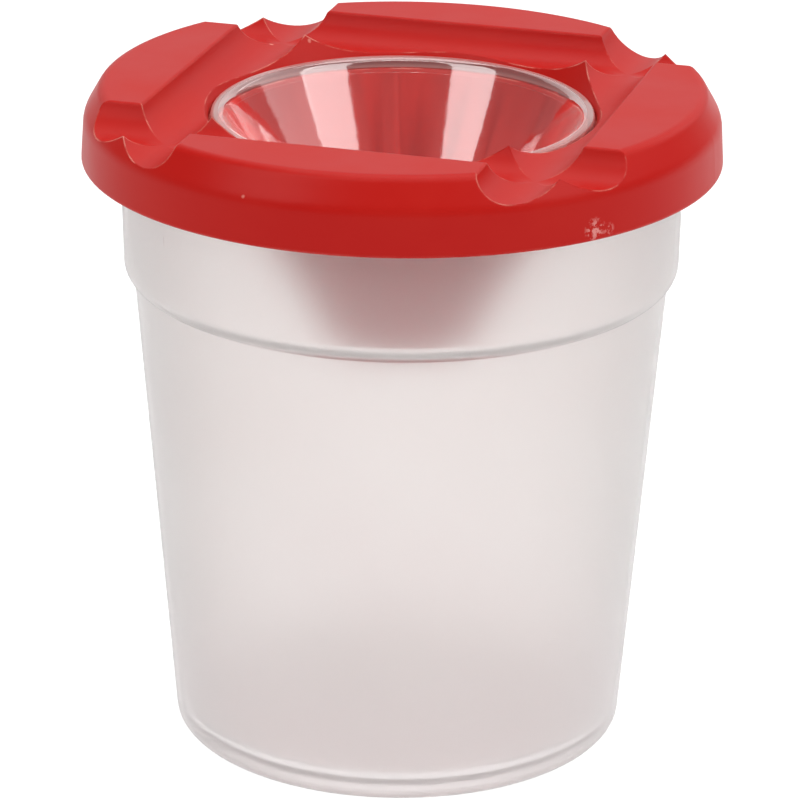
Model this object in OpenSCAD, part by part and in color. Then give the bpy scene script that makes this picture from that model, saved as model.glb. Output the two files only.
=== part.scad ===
// Brush washer: a frosted pot, a push-on lid with brush rests, and a clear funnel liner.
// Origin at the centre of the base, +Z up. All sizes in millimetres.

/* [Pot] */
// Height of the pot, base to rim
pot_h = 89.2; // [80:0.2:110]
// Diameter where the wall meets the base
pot_base_d = 64.4; // [60:0.2:70]
// Diameter of the tapered wall just below the shoulder
pot_wall_d = 75.6; // [72:0.2:77]
// Diameter of the band above the shoulder
pot_band_d = 78.4; // [78:0.2:80]
// Diameter over the turned-down lip
pot_lip_d = 85.6; // [84:0.2:86]
// Height of the shoulder's lower edge
shoulder_z = 68.2; // [55:0.2:72]
// Wall thickness of the pot
pot_wall = 1.4; // [1:0.1:2]

/* [Lid] */
// Diameter over the lid's skirt
lid_d = 90; // [89:0.5:92]
// Height of the skirt, from its hem to the crease under the shoulder
skirt_h = 6.3; // [5:0.1:8]
// Rise from the crease to the flat top of the lid
lid_rise = 4.2; // [3.6:0.1:5]
// Wall thickness of the lid
lid_wall = 1.4; // [1:0.1:1.8]

/* [Brush rests] */
// Distance of each groove's centre line from the lid's axis
groove_offset = 26; // [24:0.5:28]
// Radius of the grooves' round section
groove_r = 5.5; // [5:0.1:6]
// Depth of the grooves below the flat top
groove_depth = 3.9; // [3:0.1:4.2]
// Rounding of the grooves' upper edges
groove_edge_r = 0.5; // [0.2:0.1:0.8]

/* [Funnel] */
// Diameter of the liner's rim
liner_rim_d = 53.8; // [50:0.2:55]
// Height of the rim above the grooves' floor
liner_proud = 0; // [-0.2:0.1:0.8]
// Depth of the funnel below the grooves' floor
funnel_h = 33; // [20:1:40]
// Diameter of the hole at the funnel's foot
funnel_foot_d = 18; // [14:1:24]
// Wall thickness of the clear liner
liner_wall = 0.9; // [0.8:0.1:1.2]

/* [Hidden] */
$fn = 128;
arc_steps = 6;
small_fn = 24;
edge_r = 0.4;
// How far a cutting shape reaches past what it cuts
over = 1;

// Pot
foot_kick = 1.2;
foot_ring_d = 55;
foot_ring_slope = 1;
foot_round = 2;
floor_t = 1.4;
floor_round = 3;
shoulder_h = 0.9;
shoulder_round = 2.6;
shoulder_round_in = 1.3;
shoulder_t = 0.6;
lip_hang = 2.6;
lip_t = 1.4;
lip_web = 1.5;
lip_round = 0.9;
band_draft = 0.4;

// Lid
fit_gap = 0.3;
seat_z = pot_h;
groove_clear = 1.2;
groove_floor_z = seat_z + groove_clear + lid_wall;
lid_top_z = groove_floor_z + groove_depth;
groove_rise = groove_r - groove_depth;
edge_lap = 0.01;
crease_z = lid_top_z - lid_rise;
hem_z = crease_z - skirt_h;
skirt_draft = 0.4;
bead_r = 0.4;
bead_up = 0.6;
skirt_in_r = pot_lip_d / 2 + fit_gap + bead_r;
crown_in = 2.8;
crown_r = lid_d / 2 - crown_in;
crown_round = 1.6;
crease_round = 4;
pocket_in = 1.2;
pocket_r = crown_r - pocket_in;
pocket_draft = 0.8;
pocket_round = 1.4;
under_groove_r = groove_r + lid_wall;

// Funnel, with the liner nested in the lid's cone
recess = 1.7;
ledge_z = groove_floor_z - recess;
ledge_w = 1.5;
rim_z = groove_floor_z + liner_proud;
mouth_r = liner_rim_d / 2 + fit_gap;
dish_drop = 0.8;
dish_z = groove_floor_z - dish_drop;
dish_slope = 1.56;
dish_top_r = mouth_r + (lid_top_z - dish_z) / dish_slope;
dish_wall = lid_wall / sin(atan(dish_slope));
cone_top_r = mouth_r - ledge_w;
cone_foot_r = funnel_foot_d / 2;
foot_z = groove_floor_z - funnel_h;
cone_run = (cone_top_r - cone_foot_r) / (ledge_z - foot_z);
cone_angle = atan(cone_run);
cone_wall = lid_wall / cos(cone_angle);
liner_gap = fit_gap / cos(cone_angle);
liner_t = liner_wall / cos(cone_angle);
liner_up = 1.5;
liner_foot_z = foot_z + liner_up;
liner_rim_round = 0.5;

// Radius of the lid's cone, inside, at height z
function cone_r(z) = cone_top_r - (ledge_z - z) * cone_run;

// Unit vector from point a towards point b
function towards(a, b) = (b - a) / norm(b - a);

// Points of the arc that rounds corner b of the path a, b, c with radius r
function corner_arc(a, b, c, r) =
    let (u = towards(b, a))
    let (v = towards(b, c))
    let (half = acos(u * v) / 2)
    let (centre = b + towards([0, 0], u + v) * r / sin(half))
    let (p = b + u * r / tan(half) - centre)
    let (sweep = (180 - 2 * half) * sign(cross(p, b + v * r / tan(half) - centre)))
    [for (i = [0 : arc_steps])
        let (t = sweep * i / arc_steps)
        centre + [p.x * cos(t) - p.y * sin(t), p.x * sin(t) + p.y * cos(t)]];

// A closed outline from corners [x, y, rounding]
function rounded(corners) =
    let (n = len(corners))
    [for (i = [0 : n - 1])
        let (a = corners[(i + n - 1) % n])
        let (b = corners[i])
        let (c = corners[(i + 1) % n])
        each b.z == 0
            ? [[b.x, b.y]]
            : corner_arc([a.x, a.y], [b.x, b.y], [c.x, c.y], b.z)];

module turned(corners) {
    rotate_extrude() polygon(rounded(corners));
}

// The pot's section: foot ring, tapered wall, shoulder, band and turned-down lip
module pot() {
    base_r = pot_base_d / 2;
    wall_r = pot_wall_d / 2;
    band_r = pot_band_d / 2;
    lip_r = pot_lip_d / 2;
    ring_r = foot_ring_d / 2;
    shoulder_top = shoulder_z + shoulder_h;
    lip_z = pot_h - lip_hang;
    web_z = pot_h - lip_web;
    color([0.88, 0.87, 0.86, 0.6])
    turned([
        [0, foot_kick, 0],
        [ring_r - foot_ring_slope, foot_kick, edge_r],
        [ring_r, 0, edge_r],
        [base_r, 0, foot_round],
        [wall_r, shoulder_z, edge_r],
        [band_r, shoulder_top, shoulder_round],
        [band_r + band_draft, web_z, edge_r],
        [lip_r - lip_t, web_z, edge_r],
        [lip_r - lip_t, lip_z, edge_r],
        [lip_r, lip_z, edge_r],
        [lip_r, pot_h, lip_round],
        [band_r + band_draft - pot_wall, pot_h, lip_round],
        [band_r - pot_wall, shoulder_top + shoulder_t, shoulder_round_in],
        [wall_r - pot_wall, shoulder_z + shoulder_t, shoulder_round_in],
        [base_r - pot_wall, foot_kick + floor_t, floor_round],
        [0, foot_kick + floor_t, 0]
    ]);
}

// Places its children along the four grooves, two each way, on their centre lines
module along_grooves() {
    for (turn = [0 : 90 : 270])
        rotate([0, 0, turn])
        translate([groove_offset, 0, lid_top_z])
        rotate([90, 0, 0])
        linear_extrude(lid_d + 2 * over, center = true) children();
}

// Round trough with rounded upper edges, as a 2D section in the plane of the flat top.
// The edge roundings cross the trough's circle by edge_lap and touch the flat top.
module groove_section() {
    reach = groove_r + groove_edge_r - edge_lap;
    edge_rise = groove_rise + groove_edge_r;
    edge_x = sqrt(reach * reach - edge_rise * edge_rise);
    touch_y = groove_rise - edge_rise * (groove_r - edge_lap / 2) / reach;
    translate([0, groove_rise])
    circle(groove_r);
    difference() {
        translate([-edge_x, touch_y])
        square([2 * edge_x, lid_rise]);
        for (side = [-1, 1])
            translate([side * edge_x, -groove_edge_r])
            circle(groove_edge_r, $fn = small_fn);
    }
}

// Solid of the mouth with its sloping surround, from height bottom, grown outwards by a wall
module mouth_space(bottom, wall_low, wall_high) {
    turned([
        [0, bottom, 0],
        [mouth_r + wall_low, bottom, 0],
        [mouth_r + wall_low, dish_z, 0],
        [dish_top_r + wall_high, lid_top_z, 0],
        [dish_top_r + wall_high, lid_top_z + over, 0],
        [0, lid_top_z + over, 0]
    ]);
}

// The space under the lid's top, with the grooves' undersides left standing in it
module lid_hollow() {
    difference() {
        turned([
            [0, hem_z - over, 0],
            [skirt_in_r, hem_z - over, 0],
            [skirt_in_r, seat_z, edge_r],
            [pocket_r, seat_z, 0],
            [pocket_r - pocket_draft, lid_top_z - lid_wall, pocket_round],
            [0, lid_top_z - lid_wall, 0]
        ]);
        along_grooves() translate([0, groove_rise]) circle(under_groove_r);
        mouth_space(seat_z, lid_wall, dish_wall);
    }
}

// The cone that hangs under the lid and holds the liner
module lid_cone() {
    turned([
        [cone_foot_r, foot_z, edge_r],
        [cone_foot_r + cone_wall, foot_z, edge_r],
        [cone_r(seat_z) + cone_wall, seat_z, 0],
        [mouth_r + lid_wall, seat_z, 0],
        [mouth_r + lid_wall, dish_z, 0],
        [mouth_r, dish_z, 0],
        [mouth_r, ledge_z, 0],
        [cone_top_r, ledge_z, 0]
    ]);
}

module lid() {
    skirt_r = lid_d / 2;
    color([0.8, 0.16, 0.14])
    union() {
        difference() {
            turned([
                [0, hem_z, 0],
                [skirt_r, hem_z, edge_r],
                [skirt_r - skirt_draft, crease_z, crease_round],
                [crown_r, lid_top_z, crown_round],
                [0, lid_top_z, 0]
            ]);
            lid_hollow();
            mouth_space(seat_z - over, 0, 0);
            along_grooves() groove_section();
        }
        lid_cone();
        // Bead that holds under the pot's lip
        rotate_extrude()
        translate([skirt_in_r, hem_z + bead_up])
        circle(bead_r, $fn = small_fn);
    }
}

// Clear cone with a thick rim that rests on the ledge in the lid's mouth
module funnel_liner() {
    rim_r = liner_rim_d / 2;
    out_top = cone_r(ledge_z) - liner_gap;
    out_foot = cone_r(liner_foot_z) - liner_gap;
    color([0.95, 0.9, 0.9, 0.4])
    turned([
        [out_foot - liner_t, liner_foot_z, edge_r],
        [out_foot, liner_foot_z, edge_r],
        [out_top, ledge_z, 0],
        [rim_r, ledge_z, edge_r],
        [rim_r, rim_z, liner_rim_round],
        [out_top - liner_t + (rim_z - ledge_z) * cone_run, rim_z, liner_rim_round]
    ]);
}

pot();
lid();
funnel_liner();
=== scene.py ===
from math import cos, radians, sin

import bmesh
import bpy
from mathutils import Matrix, Vector


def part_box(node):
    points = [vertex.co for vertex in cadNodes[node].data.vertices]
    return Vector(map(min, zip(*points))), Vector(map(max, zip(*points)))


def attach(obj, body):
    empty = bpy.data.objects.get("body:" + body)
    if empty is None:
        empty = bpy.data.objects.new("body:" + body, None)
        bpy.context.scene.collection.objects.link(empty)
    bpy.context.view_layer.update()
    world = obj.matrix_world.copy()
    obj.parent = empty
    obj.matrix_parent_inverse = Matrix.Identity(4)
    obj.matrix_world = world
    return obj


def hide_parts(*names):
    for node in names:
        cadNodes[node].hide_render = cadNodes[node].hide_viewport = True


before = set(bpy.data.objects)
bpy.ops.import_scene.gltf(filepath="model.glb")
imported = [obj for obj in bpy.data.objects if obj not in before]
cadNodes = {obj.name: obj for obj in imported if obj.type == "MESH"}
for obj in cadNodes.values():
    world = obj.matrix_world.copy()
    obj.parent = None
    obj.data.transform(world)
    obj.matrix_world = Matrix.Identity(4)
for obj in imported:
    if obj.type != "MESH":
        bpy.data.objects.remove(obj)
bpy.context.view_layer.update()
print("frame loaded:", ", ".join(sorted(cadNodes)))


def mm(value):
    return value * 0.001


def place(item):
    bpy.context.scene.collection.objects.link(item)
    return item


# Camera, at the photo's angle
cameraSettings = {
    "reach": 0.585,      # level distance from the pot's axis
    "height": 0.2729,    # above the floor
    "turn": 16.24,       # degrees round from -Y towards +X
    "tilt": 21.01,       # degrees below level
    "roll": 0.53,        # degrees
    "lens": 196.5,       # focal length, in mm
    "sensor": 36,        # width, in mm
}


def makeCamera(s):
    data = bpy.data.cameras.new("photoCamera")
    data.lens = s["lens"]
    data.sensor_width = s["sensor"]
    camera = place(bpy.data.objects.new("photoCamera", data))
    turn = Matrix.Rotation(radians(s["turn"]), 4, "Z")
    stand = Matrix.Translation((0, -s["reach"], s["height"]))
    tilt = Matrix.Rotation(radians(90 - s["tilt"]), 4, "X")
    roll = Matrix.Rotation(radians(s["roll"]), 4, "Z")
    camera.matrix_world = turn @ stand @ tilt @ roll
    bpy.context.scene.camera = camera


makeCamera(cameraSettings)
print("camera placed")


# Soft studio light: a dim room, softboxes and a fill at the sides, a strip high in front,
# one box overhead and a wide sweep behind. The floor glows a little, as lit white paper does.
studioSettings = {
    "view": "Standard",
    "room": (1.0, 1.0, 1.0, 1),
    "roomStrength": 0.185,
    "floorSize": 6.0,
    "floorColour": (0.20, 0.20, 0.20, 1),
    "floorRoughness": 0.9,
    "floorGlow": 0.92,
    "floorGlowColour": (1.0, 1.0, 1.0, 1),
    "target": (0, 0, 0.06),
    "lamps": {
        # name: (degrees round from the camera, elevation, distance, width, height, watts)
        "softboxRight": (60, 40, 1.2, 0.60, 0.75, 4.9),
        "softboxLeft": (-54, 40, 1.2, 0.56, 0.75, 4.6),
        "fillRight": (108, 38, 1.2, 1.3, 0.8, 3.2),
        "stripFront": (0, 66, 1.2, 0.9, 0.12, 2.3),
        "softboxTop": (170, 78, 1.3, 1.0, 1.0, 8.5),
        "sweepBehind": (180, 28, 1.6, 3.0, 1.4, 8.0),
    },
}


def makeLamp(name, turn, target, settings):
    around, rise, reach, wide, high, watts = settings
    lamp = bpy.data.lights.new(name, "AREA")
    lamp.shape = "RECTANGLE"
    lamp.size = wide
    lamp.size_y = high
    lamp.energy = watts
    level = radians(turn + around)
    up = radians(rise)
    away = Vector((sin(level) * cos(up), -cos(level) * cos(up), sin(up)))
    light = place(bpy.data.objects.new(name, lamp))
    light.location = target + reach * away
    light.rotation_euler = (-away).to_track_quat("-Z", "Y").to_euler()


def makeRoom(s):
    world = bpy.data.worlds.new("studioRoom")
    world.use_nodes = True
    background = world.node_tree.nodes["Background"]
    background.inputs["Color"].default_value = s["room"]
    background.inputs["Strength"].default_value = s["roomStrength"]
    bpy.context.scene.world = world


def makeFloor(s):
    bm = bmesh.new()
    bmesh.ops.create_grid(bm, x_segments=1, y_segments=1, size=s["floorSize"] / 2)
    mesh = bpy.data.meshes.new("floor")
    bm.to_mesh(mesh)
    bm.free()
    paper = bpy.data.materials.new("whitePaper")
    paper.use_nodes = True
    shader = paper.node_tree.nodes["Principled BSDF"]
    shader.inputs["Base Color"].default_value = s["floorColour"]
    shader.inputs["Roughness"].default_value = s["floorRoughness"]
    shader.inputs["Emission Color"].default_value = s["floorGlowColour"]
    shader.inputs["Emission Strength"].default_value = s["floorGlow"]
    mesh.materials.append(paper)
    place(bpy.data.objects.new("floor", mesh))


def makeStudio(s, turn):
    makeRoom(s)
    for name, settings in s["lamps"].items():
        makeLamp(name, turn, Vector(s["target"]), settings)
    makeFloor(s)
    bpy.context.scene.view_settings.view_transform = s["view"]


makeStudio(studioSettings, cameraSettings["turn"])
print("studio lit")


# Small helpers for node trees
class Nodes:
    def __init__(self, material):
        material.use_nodes = True
        self.tree = material.node_tree
        self.tree.nodes.clear()
        self.object = self.add("ShaderNodeTexCoord").outputs["Object"]

    # Links a socket to an input, or sets a constant on it
    def feed(self, socket, value):
        if isinstance(value, bpy.types.NodeSocket):
            self.tree.links.new(value, socket)
        else:
            socket.default_value = value

    def add(self, kind, inputs=None, **settings):
        node = self.tree.nodes.new(kind)
        for key, value in settings.items():
            setattr(node, key, value)
        for key, value in (inputs or {}).items():
            self.feed(node.inputs[key], value)
        return node

    def stretched(self, scale):
        mapping = self.add("ShaderNodeMapping", {"Vector": self.object, "Scale": scale})
        return mapping.outputs["Vector"]

    def noise(self, scale, detail, roughness=0.5, at=None):
        return self.add("ShaderNodeTexNoise", {
            "Vector": at or self.object,
            "Scale": scale,
            "Detail": detail,
            "Roughness": roughness,
        }).outputs["Fac"]

    def span(self, value, low, high, toLow, toHigh):
        return self.add("ShaderNodeMapRange", {
            "Value": value,
            "From Min": low,
            "From Max": high,
            "To Min": toLow,
            "To Max": toHigh,
        }).outputs["Result"]

    def maths(self, operation, first, second):
        node = self.add("ShaderNodeMath", {0: first, 1: second}, operation=operation)
        return node.outputs["Value"]

    def times(self, first, second):
        return self.maths("MULTIPLY", first, second)

    def vectors(self, operation, first, second):
        node = self.add("ShaderNodeVectorMath", {0: first, 1: second}, operation=operation)
        return node.outputs["Value"]

    # 1 at the given centre, falling to 0 at the given radius
    def spot(self, centre, radius):
        away = self.vectors("DISTANCE", self.object, centre)
        return self.span(away, 0.0, radius, 1.0, 0.0)

    # The normal with rounded edges, and a mask that is 1 along sharp edges and 0 elsewhere
    def edges(self, radius, samples, low, high):
        bevel = self.add("ShaderNodeBevel", {"Radius": radius}, samples=samples)
        rounded = bevel.outputs["Normal"]
        flat = self.add("ShaderNodeNewGeometry").outputs["Normal"]
        facing = self.vectors("DOT_PRODUCT", rounded, flat)
        return rounded, self.span(facing, high, low, 0.0, 1.0)

    def bump(self, height, distance, strength, normal=None):
        inputs = {"Height": height, "Distance": distance, "Strength": strength}
        if normal is not None:
            inputs["Normal"] = normal
        return self.add("ShaderNodeBump", inputs).outputs["Normal"]

    def mix(self, factor, first, second):
        node = self.add("ShaderNodeMix", data_type="RGBA")
        for key, value in (("Factor", factor), ("A", first), ("B", second)):
            socket = [i for i in node.inputs if i.name == key and i.enabled][-1]
            self.feed(socket, value)
        return [o for o in node.outputs if o.enabled][0]

    def blend(self, factor, first, second):
        node = self.add("ShaderNodeMixShader", {0: factor, 1: first, 2: second})
        return node.outputs["Shader"]

    def sumShaders(self, first, second):
        return self.add("ShaderNodeAddShader", {0: first, 1: second}).outputs["Shader"]

    def principled(self, inputs):
        return self.add("ShaderNodeBsdfPrincipled", inputs).outputs["BSDF"]

    def surface(self, shader):
        self.add("ShaderNodeOutputMaterial", {"Surface": shader})


# Red lid: fine moulded grain, slight waviness, pale edges that are partly rubbed wear and
# partly a painted highlight, a scuff on the skirt, specks.
# A noise is (scale, detail) or (scale, detail, roughness), and a range says where it sets in
# and where it is full. A bump is (noise scale, noise detail, distance, strength).
redSettings = {
    "colour": (0.455, 0.0075, 0.005, 1),
    "worn": (0.49, 0.017, 0.010, 1),
    "paleWearAndHighlight": (0.85, 0.38, 0.30, 1),
    # pale colour of the specks, and of the edges, where it is partly rubbed wear and partly a
    # painted highlight
    "scuffed": (0.85, 0.42, 0.38, 1),
    "sheen": 0.13,                    # specular level
    "clouds": (60, 4),
    "wornRange": (0.35, 0.75),
    "wornShare": 0.6,
    "roughRange": (0.3, 0.7),
    "roughness": (0.32, 0.44),
    "edgeRadius": mm(0.35),
    "edgeSamples": 6,
    "edgeRange": (0.90, 0.995),       # cosine between the rounded and the flat normal
    "edgePatches": (260, 3),
    "edgePatchRange": (0.44, 0.60),
    "edgeShare": 0.7,
    "wave": (45, 2, mm(0.10), 0.5),
    "grain": (2600, 2, mm(0.005), 0.5),
    "ragged": (1500, 4, 0.7),
    "raggedRange": (0.47, 0.56),
    "scuffRange": (0.05, 0.6),
    "scuffs": [
        # centre, radius, share
        ((0.03502, -0.02826, 0.08676), mm(2.0), 0.55),
        ((0.03640, -0.02640, 0.08650), mm(1.1), 0.35),
    ],
    "specks": (420, 1),
    "speckRange": (0.80, 0.86),
    "speckShare": 0.6,
}


def bumped(n, settings, normal=None):
    scale, detail, distance, strength = settings
    return n.bump(n.noise(scale, detail), distance, strength, normal)


def redPlastic(s):
    material = bpy.data.materials.new("redMouldedPlastic")
    n = Nodes(material)
    clouds = n.noise(*s["clouds"])
    worn = n.span(clouds, *s["wornRange"], 0.0, s["wornShare"])
    colour = n.mix(worn, s["colour"], s["worn"])
    rounded, edge = n.edges(s["edgeRadius"], s["edgeSamples"], *s["edgeRange"])
    patches = n.span(n.noise(*s["edgePatches"]), *s["edgePatchRange"], 0.0, s["edgeShare"])
    # Pale lines along sharp edges: partly rubbed wear, partly a painted highlight where the
    # rounded edges catch the light
    colour = n.mix(n.times(edge, patches), colour, s["paleWearAndHighlight"])
    ragged = n.span(n.noise(*s["ragged"]), *s["raggedRange"], 0.0, 1.0)
    for centre, radius, share in s["scuffs"]:
        near = n.times(n.spot(centre, radius), ragged)
        colour = n.mix(n.span(near, *s["scuffRange"], 0.0, share), colour, s["scuffed"])
    specks = n.span(n.noise(*s["specks"]), *s["speckRange"], 0.0, s["speckShare"])
    colour = n.mix(specks, colour, s["paleWearAndHighlight"])
    n.surface(n.principled({
        "Base Color": colour,
        "Normal": bumped(n, s["grain"], bumped(n, s["wave"], rounded)),
        "Roughness": n.span(clouds, *s["roughRange"], *s["roughness"]),
        "Specular IOR Level": s["sheen"],
    }))
    return material


# Frosted pot: satin skin, blurred see-through wall, faint clouds, a painted pink bounce light
# towards the bottom, and a few hair scratches
potSettings = {
    "colour": (1.0, 0.968, 0.957, 1),
    "cloudy": (0.99, 0.945, 0.933, 1),
    # painted light: the pink of red light from the lid bounced onto the pot's floor
    "paintedPinkBounce": (1.0, 0.945, 0.94, 1),
    "scratched": (0.72, 0.62, 0.62, 1),
    "paintedPinkBounceHeight": (mm(10), mm(26)),  # full below the first, gone above the second
    "transmission": 0.84,
    "bend": 1.49,
    "clouds": (35, 3),
    "cloudRange": (0.35, 0.7),
    "roughRange": (0.3, 0.7),
    "roughness": (0.30, 0.34),
    "grain": (1500, 3, mm(0.008), 0.6),
    "hairStretch": (1, 1, 0.09),
    "hairs": (2400, 1),
    "hairRange": (0.66, 0.72),
    "scratchRange": (0.1, 0.5),
    "scratchShare": 0.8,
    "scratches": [
        # centre, radius
        ((-0.02474, -0.03066, 0.07987), mm(1.6)),
        ((-0.03223, -0.02249, 0.07319), mm(1.3)),
    ],
}


def frostedPlastic(s):
    material = bpy.data.materials.new("frostedPolypropylene")
    n = Nodes(material)
    clouds = n.noise(*s["clouds"])
    colour = n.mix(n.span(clouds, *s["cloudRange"], 0.0, 1.0), s["colour"], s["cloudy"])
    height = n.add("ShaderNodeSeparateXYZ", {"Vector": n.object}).outputs["Z"]
    # Painted bounce light: pinker towards the bottom, for red light from the lid bounced onto
    # the pot's floor
    colour = n.mix(n.span(height, *s["paintedPinkBounceHeight"], 1.0, 0.0), colour, s["paintedPinkBounce"])
    hairs = n.noise(*s["hairs"], at=n.stretched(s["hairStretch"]))
    hairs = n.span(hairs, *s["hairRange"], 0.0, 1.0)
    for centre, radius in s["scratches"]:
        near = n.times(n.spot(centre, radius), hairs)
        share = n.span(near, *s["scratchRange"], 0.0, s["scratchShare"])
        colour = n.mix(share, colour, s["scratched"])
    n.surface(n.principled({
        "Base Color": colour,
        "Normal": bumped(n, s["grain"]),
        "IOR": s["bend"],
        "Roughness": n.span(clouds, *s["roughRange"], *s["roughness"]),
        "Transmission Weight": s["transmission"],
    }))
    return material


# Clear liner, turned from its section, with the thick rim as a milky band of faces
linerSettings = {
    "clear": {
        "name": "clearStyrene",
        "haze": 0.02,
        "hazeColour": (0.90, 0.64, 0.61, 1),
        "shine": 3.2,                 # both faces' reflections, carried by the front one
    },
    "rim": {
        "name": "milkyRim",
        "haze": 0.55,
        "hazeColour": (0.40, 0.21, 0.195, 1),
        "shine": 1.0,
    },
    "tint": (1.0, 0.975, 0.97, 1),
    "gloss": 0.07,
    "bend": 1.5,
    "shineMost": 0.46,
    "hazeRoughness": 0.5,
    "edgeTint": (0.45, 0.37, 0.37, 1),
    "edgeHaze": 0.25,                 # haze and tint where the wall is seen at a low angle
    "grazing": (0.15, 0.60),          # Fresnel values between which they set in
    "ripple": (90, 2, mm(0.05), 0.4),
    "peel": (600, 2, mm(0.03), 0.4),
    "turns": 128,
    "wall": mm(1.02),                 # level thickness of the sloping wall
    "rimDepth": mm(1.7),
    "shelf": mm(1.54),                # level width of the rim's step over the wall
    "footRadius": mm(9.46),           # outer radius at the foot
    "rimRound": mm(0.55),
    "rimSteps": 4,
    "guard": mm(0.4),                 # rings by the ends of the wall keep its shading straight
    "hair": mm(0.01),
}


# The reflections and the extra haze at low angles come from front faces only, so the wall isn't
# counted twice
def clearPlastic(s, kind):
    material = bpy.data.materials.new(kind["name"])
    n = Nodes(material)
    wave = bumped(n, s["peel"], bumped(n, s["ripple"]))
    fresnel = n.add("ShaderNodeFresnel", {"IOR": s["bend"], "Normal": wave}).outputs["Fac"]
    inside = n.add("ShaderNodeNewGeometry").outputs["Backfacing"]
    outside = n.maths("SUBTRACT", 1.0, inside)
    shine = n.times(n.times(fresnel, kind["shine"]), outside)
    grazing = n.times(n.span(fresnel, *s["grazing"], 0.0, 1.0), outside)
    haze = n.maths("ADD", n.times(grazing, s["edgeHaze"]), kind["haze"])
    tint = n.mix(grazing, s["tint"], s["edgeTint"])
    clear = n.add("ShaderNodeBsdfTransparent", {"Color": tint}).outputs["BSDF"]
    cloudy = n.principled({"Base Color": kind["hazeColour"], "Roughness": s["hazeRoughness"]})
    gloss = n.add("ShaderNodeBsdfGlossy", {
        "Color": n.maths("MINIMUM", shine, s["shineMost"]),
        "Roughness": s["gloss"],
        "Normal": wave,
    }).outputs["BSDF"]
    n.surface(n.sumShaders(n.blend(haze, clear, cloudy), gloss))
    return material


# Corners of the section as (radius, height), with guard points by the ends of the wall
def linerSection(s, rim, ledge, low, high):
    outFoot = s["footRadius"]
    inFoot = outFoot - s["wall"]
    outTop = rim - s["shelf"]
    slope = (outTop - outFoot) / (ledge - low)
    inTop = outTop - s["wall"] + slope * s["rimDepth"]
    step = s["guard"]
    section = [
        (inFoot, low),
        (outFoot, low),
        (outFoot + slope * step, low + step),
        (outTop - slope * step, ledge - step),
        (outTop, ledge),
        (rim, ledge),
        (rim, high),
        (inTop, high),
        (inTop - slope * 2 * step, high - 2 * step),
        (inFoot + slope * step, low + step),
    ]
    return section, inTop


# Spins a closed section once round the axis
def turnedShell(section, turns):
    bm = bmesh.new()
    ring = [bm.verts.new((r, 0, z)) for r, z in section]
    edges = [bm.edges.new((ring[i - 1], ring[i])) for i in range(len(ring))]
    bmesh.ops.spin(bm, geom=ring + edges, cent=(0, 0, 0), axis=(0, 0, 1),
                   angle=radians(360), steps=turns, use_merge=True)
    return bm


# Whether an edge is part of a level ring at one of the heights
def isRing(edge, heights, hair):
    first, second = (v.co for v in edge.verts)
    level = abs(first.z - second.z) < hair
    circular = abs(first.xy.length - second.xy.length) < hair
    return level and circular and min(abs(first.z - z) for z in heights) < hair


def newPiece(name, bm, materials):
    bmesh.ops.recalc_face_normals(bm, faces=bm.faces)
    mesh = bpy.data.meshes.new(name)
    bm.to_mesh(mesh)
    bm.free()
    for material in materials:
        mesh.materials.append(material)
    for face in mesh.polygons:
        face.use_smooth = True
    return place(bpy.data.objects.new(name, mesh))


def makeLiner(s):
    low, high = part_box("funnel_liner")
    ledge = high.z - s["rimDepth"]
    section, inTop = linerSection(s, high.x, ledge, low.z, high.z)
    bm = turnedShell(section, s["turns"])
    sharp = [e for e in bm.edges if isRing(e, (ledge, high.z), s["hair"])]
    bmesh.ops.bevel(bm, geom=sharp, offset=s["rimRound"], segments=s["rimSteps"],
                    profile=0.5, affect="EDGES", material=-1)
    for face in bm.faces:
        middle = face.calc_center_median()
        inRim = middle.z > ledge + s["hair"] and middle.xy.length > inTop + s["rimRound"]
        face.material_index = 1 if inRim else 0
    materials = [clearPlastic(s, s["clear"]), clearPlastic(s, s["rim"])]
    liner = newPiece("funnelLiner", bm, materials)
    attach(liner, "funnel_liner")
    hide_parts("funnel_liner")


def dress(name, material):
    for slot in cadNodes[name].material_slots:
        slot.material = material


dress("lid", redPlastic(redSettings))
print("lid dressed")
dress("pot", frostedPlastic(potSettings))
print("pot dressed")
makeLiner(linerSettings)
print("liner made")
